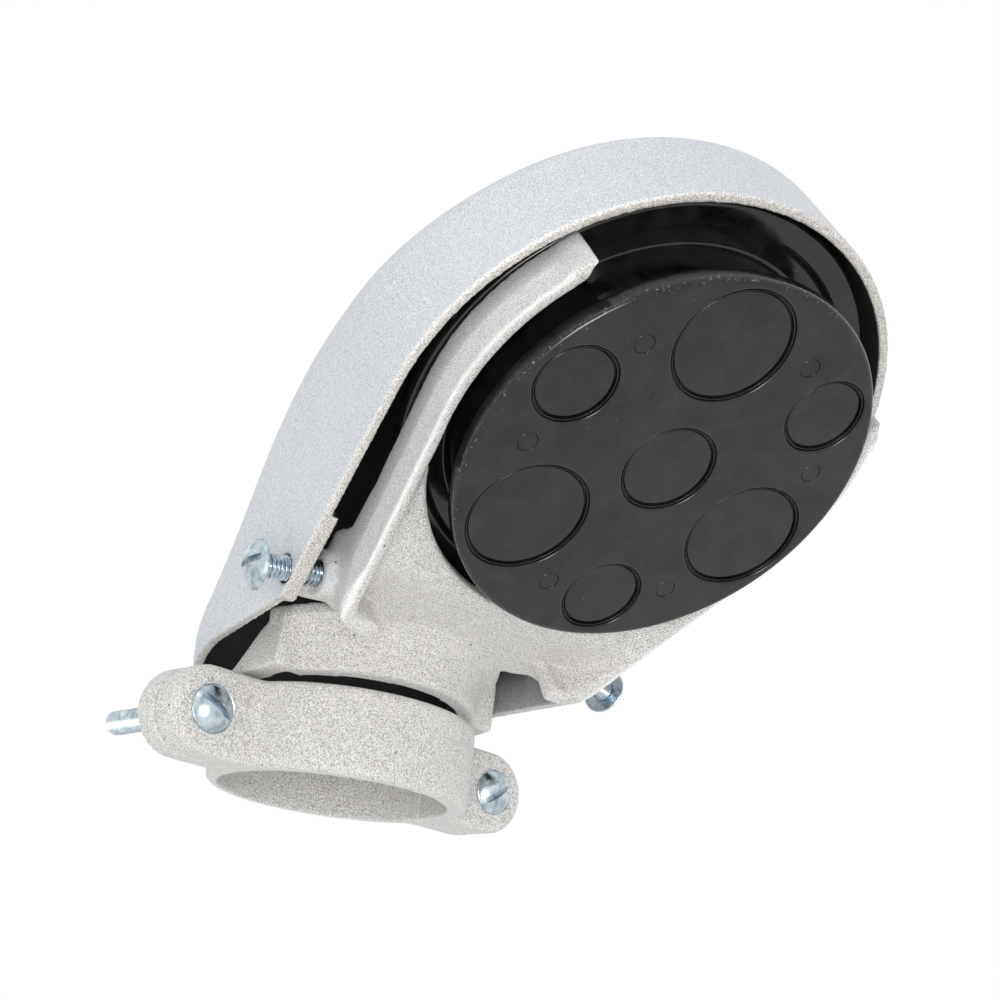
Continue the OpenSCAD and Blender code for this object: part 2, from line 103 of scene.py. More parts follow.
def colour(name, text, code):
    return bpy.props.FloatVectorProperty(
        name=name, description=text, default=linear(code), subtype="COLOR", min=0, max=1)


class CastingSettings(bpy.types.PropertyGroup):
    """Surface of the body, the strap and the hood."""

    body_step: length("Body mesh", "Cell size of the body's and strap's soft cast form", 0.75 * MM)
    hood_step: length("Hood mesh", "Cell size of the hood's soft cast form", 0.55 * MM)
    rounding: bpy.props.IntProperty(
        name="Edge rounding", description="Smoothing passes that round the body's cast edges",
        default=3, min=0, max=40)
    hood_rounding: bpy.props.IntProperty(
        name="Hood rounding", description="Smoothing passes that round the hood's cast edges",
        default=5, min=0, max=40)
    flank: length("Flank", "How far the arms' front edge stands in from their outline", 2 * MM)
    neck_fillet: length("Neck fillet", "Radius of the body's inner corners round its neck", 14 * MM)
    clamp_fillet: length("Clamp fillet", "Radius of the inner corners of the rear clamp", 6 * MM)
    strap_fillet: length("Strap fillet", "Radius of the strap's inner corners", 7 * MM)
    tip_front: length("Tip front", "Depth of the arm tips' front behind the face", 8.2 * MM)
    tip_back: length("Tip back", "Depth of the arm tips' back behind the face", 24.6 * MM)
    grain: length("Grain", "Size of the blasted grain", 0.5 * MM)
    body_colour: colour("Body and strap", "Blasted cast aluminium", "#EDECEB")
    body_dark: colour("Body hollows", "The same metal between its grains", "#AAA7A4")
    hood_colour: colour("Hood", "Tumbled cast aluminium", "#DEE1E6")
    hood_dark: colour("Hood hollows", "The same metal between its grains", "#ADB1B7")
    # Painted shade: this dark colour stands for the shade inside the hood and up the body's neck
    inside: colour("Hood inside", "The hood's unblasted inside", "#262626")


class MouldingSettings(bpy.types.PropertyGroup):
    """The knockout insulator's sizes and colour."""

    disc_r: length("Disc radius", "Radius of the front disc", 66.3 * MM)
    disc_edge: length("Disc edge", "Rounding of the front disc's edge", 1.7 * MM)
    disc_t: length("Disc edge height", "Thickness of the front disc's edge", 6.5 * MM)
    waist_r: length("Waist radius", "Radius of the waist behind the disc", 59.5 * MM)
    band_r: length("Band radius", "Inner radius of the flange's flat band", 67.2 * MM)
    flange_r: length("Flange radius", "Radius of the seating flange", 75.6 * MM)
    flange_depth: length("Flange depth", "Depth of the flange behind the face", 25 * MM)
    flange_t: length("Flange thickness", "Thickness of the seating flange", 6 * MM)
    wall: length("Wall", "Wall of the moulding", 3 * MM)
    large_r: length("Large knockouts", "Radius of the three large knockouts", 18.5 * MM)
    large_pitch: length("Large pitch", "Distance of the large knockouts from the centre", 44.2 * MM)
    small_r: length("Small knockouts", "Radius of the three small knockouts", 12.3 * MM)
    small_pitch: length("Small pitch", "Distance of the small knockouts from the centre", 50 * MM)
    centre_r: length("Centre knockout", "Radius of the centre knockout", 14.4 * MM)
    sink: length("Sink", "How far a knockout lies below the face", 1.2 * MM)
    crease: length("Crease", "How much deeper the crease round a knockout is", 0.8 * MM)
    pin_r: length("Pin marks", "Radius of the ejector pin marks", 3.2 * MM)
    pin_pitch: length("Pin pitch", "Distance of the pin marks from the centre", 50 * MM)
    turn: bpy.props.FloatProperty(
        name="Turn", description="How far the insulator is turned in its seat",
        default=math.radians(-12), subtype="ANGLE")
    black: colour("Moulding", "Black moulded plastic", "#050506")


class ScrewSettings(bpy.types.PropertyGroup):
    """The four round-head screws."""

    thread_r: length("Thread radius", "Outer radius of the rolled thread", 3.97 * MM)
    pitch: length("Pitch", "Pitch of the thread, 18 turns to the inch", 1.411 * MM)
    thread_depth: length("Thread depth", "Depth of the thread", 0.75 * MM)
    head_r: length("Head radius", "Radius of the round head", 7.75 * MM)
    head_h: length("Head height", "Height of the round head", 4.6 * MM)
    slot_w: length("Slot width", "Width of the driver slot", 2 * MM)
    slot_depth: length("Slot depth", "Depth of the driver slot", 2.6 * MM)
    zinc: colour("Zinc", "Bright zinc plate", "#D3DCE2")


class StageSettings(bpy.types.PropertyGroup):
    """Studio floor, light and camera."""

    floor_z: bpy.props.FloatProperty(
        name="Floor", description="Height of the studio floor", default=-0.45, unit="LENGTH")
    floor_colour: colour("Floor colour", "Plain pale floor", "#F2F2F2")
    ambient: bpy.props.FloatProperty(
        name="Room light", description="Strength of the light from all round", default=0.95, min=0)
    key: bpy.props.FloatProperty(
        name="Key light", description="Power of the large lamp beside the camera",
        default=6.8, min=0, unit="POWER")
    top: bpy.props.FloatProperty(
        name="Top light", description="Power of the lamp above and to the left",
        default=0.45, min=0, unit="POWER")
    eye: bpy.props.FloatVectorProperty(
        name="Camera", description="Where the camera stands", default=(-0.3659, -0.4794, -0.1046),
        precision=4, subtype="XYZ", unit="LENGTH")
    look: bpy.props.FloatVectorProperty(
        name="Direction", description="Which way the camera looks", default=(0.624, 0.705, 0.337),
        precision=4, subtype="DIRECTION")
    roll: bpy.props.FloatProperty(
        name="Roll", description="How far the camera is tilted to its side",
        default=math.radians(7.1), subtype="ANGLE")
    lens: bpy.props.FloatProperty(
        name="Lens", description="Focal length on a 36 mm wide sensor", default=65.8, min=10)


SETTINGS = {
    "weatherhead_castings": CastingSettings,
    "weatherhead_moulding": MouldingSettings,
    "weatherhead_screws": ScrewSettings,
    "weatherhead_stage": StageSettings,
}


# ---- Materials ----


def add(tree, kind, settings=None, inputs=None):
    """Adds a node, sets its own values, and links or fills its inputs."""
    node = tree.nodes.new(kind)
    for name, value in (settings or {}).items():
        setattr(node, name, value)
    for key, value in (inputs or {}).items():
        if isinstance(value, bpy.types.NodeSocket):
            tree.links.new(value, node.inputs[key])
        else:
            node.inputs[key].default_value = value
    return node


def finish_of(name, metallic, roughness):
    """A new material: itself, its tree, its Principled shader and the object's coordinates."""
    material = bpy.data.materials.new(name)
    material.use_nodes = True
    tree = material.node_tree
    tree.nodes.clear()
    shader = add(tree, "ShaderNodeBsdfPrincipled", None, {
        "Metallic": metallic, "Roughness": roughness})
    add(tree, "ShaderNodeOutputMaterial", None, {"Surface": shader.outputs["BSDF"]})
    return material, tree, shader, add(tree, "ShaderNodeTexCoord").outputs["Object"]


def ramp(tree, value, low, high, dark=0.0, light=1.0):
    """Maps a value from low..high to dark..light, held at both ends."""
    return add(tree, "ShaderNodeMapRange", None, {
        "Value": value, "From Min": low, "From Max": high, "To Min": dark, "To Max": light,
    }).outputs["Result"]


def blend(tree, share, first, second):
    """Mixes two colours by a share."""
    return add(tree, "ShaderNodeMix", {"data_type": "RGBA"}, {
        0: share, 6: first, 7: second}).outputs[2]


def noise(tree, place, size, detail=2.0, rough=0.5, stretch=0.0):
    """Noise whose blobs are about size metres across."""
    return add(tree, "ShaderNodeTexNoise", None, {
        "Vector": place, "Scale": 1 / size, "Detail": detail, "Roughness": rough,
        "Distortion": stretch}).outputs["Fac"]


def calc(tree, operation, *values):
    """One step of arithmetic on numbers and sockets."""
    return add(tree, "ShaderNodeMath", {"operation": operation}, dict(enumerate(values))).outputs[0]


def rgba(value):
    return (*value, 1.0)


def marked(tree, name):
    """How far a spot carries a mark that its mesh stores."""
    return add(tree, "ShaderNodeAttribute", {"attribute_name": name}).outputs["Fac"]


def finished(tree, shader, shade, rough, height, depth, strength=1.0):
    """Joins a finish's colour, its roughness and a bump of some depth to its shader."""
    bump = add(tree, "ShaderNodeBump", None, {
        "Strength": strength, "Distance": depth, "Height": height}).outputs["Normal"]
    for name, value in (("Base Color", shade), ("Roughness", rough), ("Normal", bump)):
        tree.links.new(value, shader.inputs[name])


def blasted_cast_aluminium(sizes):
    """Sand-blasted aluminium casting: matt and bright, with a fine grain whose sparkle is painted,
    painted highlights on its edges, a painted reflection on the arms' flanks and painted shade up the
    neck.
    """
    material, tree, shader, place = finish_of("Blasted cast aluminium", 0.4, 0.55)
    edge = marked(tree, "edge")
    # The grit leaves craters of about 0.1 mm, drawn as coarse as they need to be to show
    grain = noise(tree, place, sizes.grain, 2, 0.65)
    fine = noise(tree, place, sizes.grain * 0.6, 1, 0.5)
    cloud = noise(tree, place, 18 * MM, 3, 0.6)
    shade = blend(tree, ramp(tree, grain, 0.4, 0.56), rgba(sizes.body_dark), rgba(sizes.body_colour))
    shade = blend(tree, ramp(tree, cloud, 0.35, 0.7, 0, 0.2), shade, rgba(linear("#DEDBD7")))
    # Painted highlights: fine random specks are painted nearly white, as facets that face the light just
    # so; the tumbled edges are lighter, partly from wear and partly as a painted highlight
    glint = ramp(tree, fine, 0.6, 0.68)
    shade = blend(tree, ramp(tree, glint, 0, 1, 0, 0.8), shade, (1, 1, 1, 1))
    shade = blend(tree, ramp(tree, edge, 0.03, 0.2, 0, 0.6), shade, rgba(linear("#F4F3F2")))
    # Painted highlight: a white line along the arms' front edge
    shade = blend(tree, ramp(tree, marked(tree, "ridge_highlight"), 0, 1, 0, 0.7), shade, (1, 1, 1, 1))
    # Painted reflection: the arms' flanks are tinted cool, as if reflecting the cooler hood beside them
    flank = ramp(tree, marked(tree, "flank"), 0, 1, 0, 0.5)
    shade = blend(tree, flank, shade, rgba(linear("#D3D7DF")))
    # Painted shade: the inside of the neck, above the clamp, is painted dark
    shade = blend(tree, marked(tree, "inside"), shade, rgba(sizes.inside))
    # A few pinholes of gas porosity, 0.4 mm wide and some 9 mm apart
    pore = add(tree, "ShaderNodeTexVoronoi", None, {"Vector": place, "Scale": 1 / (9 * MM)})
    hole = ramp(tree, pore.outputs["Distance"], 0.025, 0.05, 1, 0)
    shade = blend(tree, ramp(tree, hole, 0, 1, 0, 0.75), shade, rgba(linear("#5C5650")))
    rough = blend(tree, glint, ramp(tree, grain, 0.35, 0.65, 0.68, 0.5), (0.32, 0.32, 0.32, 1))
    height = calc(tree, "SUBTRACT", calc(tree, "MULTIPLY_ADD", fine, 0.5, grain), hole)
    finished(tree, shader, shade, rough, height, 0.8 * MM)
    return material


def tumbled_cast_aluminium(sizes):
    """Tumbled aluminium casting: cooler and smoother, with a fine orange-peel, light edges that are
    partly wear and partly a painted highlight, and painted shade inside.
    """
    material, tree, shader, place = finish_of("Tumbled cast aluminium", 0.45, 0.5)
    edge = marked(tree, "edge")
    inside = marked(tree, "inside")
    grain = noise(tree, place, sizes.grain * 0.9, 2, 0.6)
    cloud = noise(tree, place, 24 * MM, 4, 0.6)
    shade = blend(tree, ramp(tree, grain, 0.36, 0.62), rgba(sizes.hood_dark), rgba(sizes.hood_colour))
    shade = blend(tree, ramp(tree, cloud, 0.35, 0.7, 0, 0.35), shade, rgba(linear("#CFD1D6")))
    # The rim and the lower edge keep the coarse light grain of the mould
    coarse = blend(tree, ramp(tree, grain, 0.4, 0.58), rgba(linear("#9D9994")), rgba(linear("#DFDCD8")))
    shade = blend(tree, marked(tree, "rim"), shade, coarse)
    # Edges are lighter, partly from wear and partly as a painted highlight
    shade = blend(tree, ramp(tree, edge, 0.03, 0.2, 0, 0.35), shade, rgba(linear("#F4F4F4")))
    # Painted shade: the inside is painted dark, and it is rougher
    shade = blend(tree, inside, shade, rgba(sizes.inside))
    rough = ramp(tree, cloud, 0.3, 0.7, 0.56, 0.44)
    rough = ramp(tree, inside, 0, 1, rough, 0.85)
    finished(tree, shader, shade, rough, grain, 0.3 * MM)
    return material


def black_moulded_plastic(sizes, face):
    """Compression-moulded black plastic: semi-gloss, with faint haze and scuffs near its edge."""
    material, tree, shader, place = finish_of("Black moulded plastic", 0.0, 0.14)
    # The pattern is laid out in the face's own plane, round its centre
    flat = add(tree, "ShaderNodeMapping", {"vector_type": "TEXTURE"}, {
        "Vector": place, "Location": face.translation, "Rotation": face.to_euler()}).outputs[0]
    parts = add(tree, "ShaderNodeSeparateXYZ", None, {"Vector": flat})
    level = add(tree, "ShaderNodeCombineXYZ", None, {
        "X": parts.outputs["X"], "Y": parts.outputs["Y"]}).outputs[0]
    reach = add(tree, "ShaderNodeVectorMath", {"operation": "LENGTH"}, {0: level}).outputs["Value"]
    cloud = noise(tree, place, 11 * MM, 5, 0.65, 0.5)
    speck = noise(tree, place, 1.1 * MM, 3, 0.7)
    # Scuffs lie on the rounding of the disc's front edge and on the odd spot of the face
    near = ramp(tree, reach, sizes.disc_r - 2.4 * MM, sizes.disc_r - 0.5 * MM, 0, 0.11)
    front = ramp(tree, parts.outputs["Z"], -2.6 * MM, -1.2 * MM)
    worn = calc(tree, "ADD", speck, near)
    scuff = calc(tree, "MULTIPLY", ramp(tree, worn, 0.7, 0.84), front)
    shade = blend(tree, ramp(tree, cloud, 0.3, 0.7, 0, 1), rgba(sizes.black), rgba(linear("#1E1E1F")))
    shade = blend(tree, scuff, shade, rgba(linear("#8C8A86")))
    haze = ramp(tree, cloud, 0.3, 0.72, 0.08, 0.2)
    rough = calc(tree, "MULTIPLY_ADD", scuff, 0.3, haze)
    finished(tree, shader, shade, rough, noise(tree, place, 5 * MM, 3, 0.5), 0.2 * MM, 0.25)
    return material


def bright_zinc(sizes):
    """Bright zinc plate with a clear blue passivate: a cool mirror with faint bands and smears."""
    material, tree, shader, place = finish_of("Bright zinc plate", 1.0, 0.2)
    cloud = noise(tree, place, 3 * MM, 3, 0.6, 0.6)
    shade = blend(tree, ramp(tree, cloud, 0.35, 0.65), rgba(sizes.zinc), rgba(linear("#98A9B4")))
    rough = ramp(tree, cloud, 0.3, 0.7, 0.16, 0.32)
    scratch = noise(tree, place, 0.5 * MM, 2, 0.6)
    finished(tree, shader, shade, rough, scratch, 0.08 * MM, 0.12)
    return material


# ---- Mesh tools ----

# The most triangles that one casting may have
MOST_TRIANGLES = 190000


def shown(name, data):
    """A new object in the scene."""
    thing = bpy.data.objects.new(name, data)
    bpy.context.scene.collection.objects.link(thing)
    return thing


def settled(form, name):
    """A bmesh made into a mesh."""
    mesh = bpy.data.meshes.new(name)
    form.to_mesh(mesh)
    form.free()
    return mesh


def new_piece(name, mesh, material, body):
    """Shows a mesh as a piece that rides on a body and takes its finish from a slot."""
    piece = shown(name, mesh)
    mesh.name = name
    mesh.materials.clear()
    mesh.materials.append(material)
    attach(piece, body)
    return piece


def evaluated(holder):
    """The mesh that an object's modifiers leave, in place of the object."""
    graph = bpy.context.evaluated_depsgraph_get()
    mesh = bpy.data.meshes.new_from_object(holder.evaluated_get(graph))
    bpy.data.objects.remove(holder)
    return mesh


def applied(mesh, kind, **values):
    """The mesh after a modifier with these settings."""
    holder = shown("holder", mesh)
    modifier = holder.modifiers.new(kind.title(), kind)
    for name, value in values.items():
        setattr(modifier, name, value)
    return evaluated(holder)


def cut_by(mesh, block):
    """The mesh without what lies inside a closed block."""
    knife = shown("knife", block)
    cut = applied(mesh, "BOOLEAN", operation="DIFFERENCE", solver="EXACT", object=knife)
    bpy.data.objects.remove(knife)
    return cut


def merged_copy(node):
    """A CAD node's mesh with its loose triangles joined."""
    form = bmesh.new()
    form.from_mesh(frame["nodes"][node].data)
    bmesh.ops.remove_doubles(form, verts=form.verts, dist=1e-6)
    return settled(form, node)


def read(items, name, width, kind=np.float64):
    """One value of every item, each a row of some width."""
    flat = np.empty(len(items) * width, dtype=kind)
    items.foreach_get(name, flat)
    return flat.reshape(-1, width)


def points_of(mesh):
    return read(mesh.vertices, "co", 3)


def edges_of(mesh):
    return read(mesh.edges, "vertices", 2, np.int64)


def normals_of(mesh):
    return read(mesh.vertex_normals, "vector", 3, np.float32)


def move(mesh, points):
    mesh.vertices.foreach_set("co", points.ravel())
    mesh.update()


def store(mesh, name, values):
    layer = mesh.attributes.new(name, "FLOAT", "POINT")
    layer.data.foreach_set("value", values.astype(np.float32))


def rise(values, start, span):
    """0 up to start and 1 from a span further on; a negative span faces the other way."""
    return np.clip((values - start) / span, 0, 1)


def around(values, edges):
    """Each vertex's mean over its neighbours."""
    first, second = edges.T
    count = len(values)
    degree = np.maximum(np.bincount(first, minlength=count) + np.bincount(second, minlength=count), 1)
    sums = [np.bincount(first, column[second], count) + np.bincount(second, column[first], count)
            for column in values.reshape(count, -1).T]
    return (np.stack(sums, 1) / degree[:, None]).reshape(values.shape)


def eased(points, edges, passes, share):
    """Points drawn towards their neighbours, each by its own share."""
    for _ in range(passes):
        points = points + 0.5 * share[:, None] * (around(points, edges) - points)
    return points


def ream(points, holes):
    """Pushes points back out to the wall of each hole, an (origin, axis, radius, span)."""
    for origin, axis, radius, (low, high) in holes:
        offset = points - np.array(origin)
        along = offset @ np.array(axis)
        across = offset - along[:, None] * np.array(axis)
        reach = np.linalg.norm(across, axis=1)
        inside = (along > low) & (along < high) & (reach < radius) & (reach > 0.6 * radius)
        push = (radius / reach[inside] - 1)[:, None] * across[inside]
        points[inside] += push
    return points


def fill_corners(mesh, points, edges, step, radius):
    """Fills inner corners to each point's own radius: only hollows move, and only outwards."""
    near = np.zeros(len(points), bool)
    near[edges[(radius[edges] > 0).any(1)].ravel()] = True
    chosen = np.flatnonzero(near)
    index = np.cumsum(near) - 1
    links = index[edges[near[edges].all(1)]]
    slack = step * step / (4 * np.maximum(radius[chosen], step))
    share = 0.8 * rise(radius[chosen], 0, 3 * MM)
    # The fill spreads by the square root of the passes; the normals follow every tenth
    for turn in range(int(1.2 * (radius.max() / step) ** 2)):
        if turn % 10 == 0:
            move(mesh, points)
            normals = normals_of(mesh)[chosen]
        some = points[chosen]
        lift = ((around(some, links) - some) * normals).sum(1) - slack
        points[chosen] = some + (share * np.maximum(lift, 0))[:, None] * normals
    return points


def cast_form(mesh, step, passes, holes, radius_at=None, reshape=None):
    """A closed mesh with its edges and inner corners rounded as sand casting leaves them."""
    mesh = applied(mesh, "REMESH", mode="VOXEL", voxel_size=step)
    points, edges = points_of(mesh), edges_of(mesh)
    points = eased(points, edges, passes, np.ones(len(points)))
    if radius_at:
        radius = radius_at(points)
        points = fill_corners(mesh, points, edges, step, radius)
        points = eased(points, edges, 10, np.clip(radius / (10 * MM), 0, 0.8))
    if reshape:
        points = reshape(points, edges)
    move(mesh, ream(points, holes))
    count = sum(len(face.vertices) - 2 for face in mesh.polygons)
    if count > MOST_TRIANGLES:
        mesh = applied(mesh, "DECIMATE", ratio=MOST_TRIANGLES / count)
    mesh.shade_smooth()
    points, edges = points_of(mesh), edges_of(mesh)
    # How far each spot stands out; the materials paint such edges lighter, partly as wear and partly as
    # a painted highlight
    lift = ((points - around(points, edges)) * normals_of(mesh)).sum(1) / step
    store(mesh, "edge", around(around(lift, edges), edges))
    return applied(mesh, "WEIGHTED_NORMAL", weight=60)


def away_from(points, names, near, far):
    """0 within near of these joints' axes, 1 past far, and between them in the middle."""
    share = np.ones(len(points))
    for name in names:
        origin, axis = (np.array(value) for value in pivot(name))
        offset = points - origin
        reach = np.linalg.norm(offset - (offset @ axis)[:, None] * axis, axis=1)
        share = np.minimum(share, rise(reach, near, far - near))
    return share


def screw_holes(radius, names, deep=80 * MM):
    """A hole of this radius on each screw's axis, from its head's seat down."""
    return [(*pivot(name), radius, (-deep, 0)) for name in names]


# ---- Castings ----


CLAMP_SCREWS = ("clamp_screw_left_turn", "clamp_screw_right_turn")
HOOD_SCREWS = ("hood_screw_left_turn", "hood_screw_right_turn")
CLAMP_TOP = 28 * MM
BORE_R = 41 * MM
# How far the yoke's centre lies above the face's, and the lean of its straight sides
YOKE_UP = 2 * MM
YOKE_LEAN = math.radians(15.5)
# Depths behind the face of the arms' front edge and of where their hollow flank ends
RIDGE_DEPTH = 8 * MM
FLANK_DEPTH = 19 * MM
# Angle above level at which an arm's closed end begins
TIP_ANGLE = math.radians(25)


def face_frame():
    """The insulator's face: the origin at its centre, X level, Y up it and Z out of it."""
    centre, out = pivot("insulator_turn")
    return axis_frame(centre, out, Vector((1, 0, 0)))


def in_face(points):
    """Points in the face's own frame."""
    inward = np.array(face_frame().inverted())
    return points @ inward[:3, :3].T + inward[:3, 3]


def joined(mesh, solids):
    """The mesh with these closed point clouds' hulls put into it."""
    form = bmesh.new()
    form.from_mesh(mesh)
    for solid in solids:
        hull = bmesh.new()
        for point in solid:
            hull.verts.new(point)
        bmesh.ops.convex_hull(hull, input=hull.verts)
        bmesh.ops.recalc_face_normals(hull, faces=hull.faces)
        form.from_mesh(settled(hull, "hull"))
    return settled(form, "joined")


def arm_tips(sizes, face):
    """The closed end of each arm, where its front turns outwards over the hollow flank."""
    # Distance from the arms' centre, angle above level, and depth from front 0 to back 1
    ends = ((70.9, 22, 0), (72.4, 29.4, 0), (74.2, 31.8, 0), (75.2, 32.0, 0), (75.4, 26, 0),
            (75.8, 31.6, 0.2), (76.0, 26.5, 0.25), (75.9, 31, 0.6), (75.9, 27.5, 0.65),
            (71.0, 22, 1), (72.0, 29, 1), (74.0, 32, 1), (76.0, 31, 1), (75.0, 25.5, 1))
    for side in (-1, 1):
        yield [face @ Vector((
            side * r * MM * math.cos(math.radians(a)),
            YOKE_UP + r * MM * math.sin(math.radians(a)),
            -sizes.tip_front - share * (sizes.tip_back - sizes.tip_front))) for r, a, share in ends]


def skirt_wedges(face):
    """What the slanted back edge of each side skirt leaves free."""
    outline = ((-53.5, -24.8), (-72, -26), (-80, -34.4), (-80, -40), (-25, -40), (-25, -24.8))
    for side in (-1, 1):
        yield [face @ (Vector((side * x, y, z)) * MM) for x in (49, 80) for y, z in outline]


def floor_webs():
    """The floor between the neck and each lower corner of the yoke, back to the notch."""
    # The floor's underside drops by this much for each step towards the back
    height, slope, thick = 42.1, 0.158, 4.6
    near_neck = ((8, -57), (30, -57), (44, -41.5), (40, -38), (30, -38), (8, -48))
    near_corner = ((30, -57), (54, -52), (57, -44), (56, -38.5), (50, -39), (43, -41.5))
    for side in (-1, 1):
        for outline in (near_neck, near_corner):
            yield [Vector((side * x, y, height - slope * y + up)) * MM
                   for x, y in outline for up in (0, thick)]


class WEATHERHEAD_OT_castings(bpy.types.Operator):
    """Make the body and the clamp strap as soft-edged blasted castings"""

    bl_idname = "weatherhead.castings"
    bl_label = "Body and Strap"

    def execute(self, context):
        sizes = context.scene.weatherhead_castings
        moulding = context.scene.weatherhead_moulding
        thread_r = context.scene.weatherhead_screws.thread_r
        metal = blasted_cast_aluminium(sizes)
        face = face_frame()

        def body_radius(points):
            """How far the body's inner corners are filled: not in its seat, bore or screw bosses."""
            local = in_face(points)
            seat = (np.linalg.norm(local[:, :2], axis=1) < moulding.flange_r + 1.5 * MM) & (
                local[:, 2] < -18 * MM)
            height = points[:, 2]
            shut = (np.linalg.norm(points[:, :2], axis=1) < BORE_R) | (seat & (height > 58 * MM))
            share = away_from(points, CLAMP_SCREWS, 9 * MM, 12 * MM)
            share *= away_from(points, HOOD_SCREWS, 6 * MM, 9 * MM) * ~shut
            share *= rise(height, 78 * MM, -10 * MM)
            return share * np.where(
                height > CLAMP_TOP + 3 * MM, sizes.neck_fillet, sizes.clamp_fillet)

        def strap_radius(points):
            bore = np.linalg.norm(points[:, :2], axis=1) < 40 * MM
            return away_from(points, CLAMP_SCREWS, 8.5 * MM, 12 * MM) * ~bore * sizes.strap_fillet

        def from_arm(points):
            """Which arm, the way out of its outline, how far out of it, its angle and depth."""
            local = in_face(points)
            x, y = np.abs(local[:, 0]), local[:, 1] - YOKE_UP
            angle = np.arctan2(y, x)
            facing = np.maximum(angle, -YOKE_LEAN)
            out = np.stack([np.cos(facing), np.sin(facing)], 1)
            over = x * out[:, 0] + y * out[:, 1] - moulding.flange_r - 1.1 * MM
            return local, out, over, angle, -local[:, 2]

        def hollow_flanks(points, edges):
            """Sets the arms' front edge in, so that their flanks show, and rounds their tips."""
            local, out, over, angle, depth = from_arm(points)
            side, reach = np.sign(local[:, 0]), np.hypot(local[:, 0], local[:, 1] - YOKE_UP)
            deep = rise(depth, RIDGE_DEPTH, FLANK_DEPTH - RIDGE_DEPTH)
            inset = sizes.flank * (1 - deep) + 2 * MM * deep * (1 - deep)
            inset *= rise(angle, TIP_ANGLE + math.radians(0.5), -math.radians(2))
            inset *= rise(local[:, 1], -84 * MM, 10 * MM)
            chosen = (depth < FLANK_DEPTH) & (over > -inset) & (over < 2 * MM) & (inset > 0)
            push = np.where(chosen, -inset - over, 0)
            shift = np.stack([side * push * out[:, 0], push * out[:, 1], np.zeros(len(push))], 1)
            points = points + shift @ np.array(face.inverted())[:3, :3]
            tip = (angle > TIP_ANGLE) & (reach > 68 * MM) & (depth < 25 * MM)
            return eased(points, edges, 8, tip * 0.9 + (chosen & ~tip) * 0.1)

        wedges = joined(bpy.data.meshes.new("wedges"), skirt_wedges(face))
        form = joined(cut_by(merged_copy("body"), wedges), [*arm_tips(sizes, face), *floor_webs()])
        tapped = screw_holes(thread_r + 0.1 * MM, CLAMP_SCREWS + HOOD_SCREWS)
        body = cast_form(form, sizes.body_step, sizes.rounding, tapped, body_radius, hollow_flanks)
        # Marks the neck's inner wall above the clamp, which the material paints dark as shade
        points, normals = points_of(body), normals_of(body)
        reach = np.linalg.norm(points[:, :2], axis=1)
        hollow = -(points[:, :2] * normals[:, :2]).sum(1) / reach
        store(body, "inside", rise(hollow, 0.2, 0.3) * (reach < BORE_R + 2 * MM)
              * rise(points[:, 2], CLAMP_TOP, 3 * MM))
        # Marks the arms' front edge, where the material paints a highlight
        _, _, over, angle, depth = from_arm(points)
        apart = np.hypot(over + sizes.flank, depth - RIDGE_DEPTH)
        store(body, "ridge_highlight", rise(apart, 1.5 * MM, -MM) * (angle < TIP_ANGLE + math.radians(1)))
        # Marks the arms' flanks, which the material tints with a painted reflection of the hood
        store(body, "flank", rise(over, -5 * MM, 2 * MM) * rise(depth, RIDGE_DEPTH, 3 * MM)
              * (angle > math.radians(-60)))
        piece = new_piece("yoke_casting", body, metal, "casting")
        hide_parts("body")
        strap = cast_form(merged_copy("clamp_strap"), sizes.body_step, sizes.rounding,
                          screw_holes(thread_r + 0.5 * MM, CLAMP_SCREWS), strap_radius)
        piece = new_piece("strap_casting", strap, metal, "strap")
        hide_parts("clamp_strap")
        return {"FINISHED"}


class WEATHERHEAD_OT_hood(bpy.types.Operator):
    """Make the hood as a tumbled casting with a light rim and painted shade inside"""

    bl_idname = "weatherhead.hood"
    bl_label = "Hood"

    def execute(self, context):
        sizes = context.scene.weatherhead_castings
        front = np.array(pivot("insulator_turn")[1])
        radius = context.scene.weatherhead_screws.thread_r + 0.5 * MM
        hood = cast_form(merged_copy("hood"), sizes.hood_step, sizes.hood_rounding,
                         screw_holes(radius, HOOD_SCREWS, 40 * MM))
        points, normals = points_of(hood), normals_of(hood)
        local = in_face(points)
        depth = -local[:, 2]
        # The lip is the front edge of the sides, and the underside of the lower edge
        rim = np.maximum(rise(normals @ front, 0.5, 0.2) * (depth < 26 * MM),
                         rise(-normals[:, 2], 0.8, 0.1) * (points[:, 2] < 52 * MM))
        store(hood, "rim", rim)
        low, high = (np.array(corner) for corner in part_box("hood"))
        # Marks the hood's inside behind its front band, which the material paints dark as shade
        inward = (low + high) / 2 - points
        hollow = (normals * inward).sum(1) / np.linalg.norm(inward, axis=1)
        # The painted shade is eased at the two lower front corners
        shade_eased = rise(local[:, 1], -95 * MM, -15 * MM) * rise(depth, 52 * MM, -8 * MM)
        store(hood, "inside", rise(hollow, 0.05, 0.15) * rise(depth, 18 * MM, 3 * MM)
              * (1 - rim) * (1 - 0.7 * shade_eased))
        piece = new_piece("hood_casting", hood, tumbled_cast_aluminium(sizes), "casting")
        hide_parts("hood")
        return {"FINISHED"}


# ---- Insulator ----


def ring(centre, radius, level, count):
    """Points of a circle in the face's own frame."""
    steps = (2 * math.pi * i / count for i in range(count))
    return [Vector((centre[0] + radius * math.cos(a), centre[1] + radius * math.sin(a), level))
            for a in steps]


def sweep_round(form, centre, profile, count):
    """Joins circles of (radius, level) round a centre into a band of faces."""
    loops = [[form.verts.new(p) for p in ring(centre, max(r, 0), z, count)] for r, z in profile]
    for upper, lower in zip(loops, loops[1:]):
        for i in range(count):
            k = (i + 1) % count
            form.faces.new((upper[i], upper[k], lower[k], lower[i]))


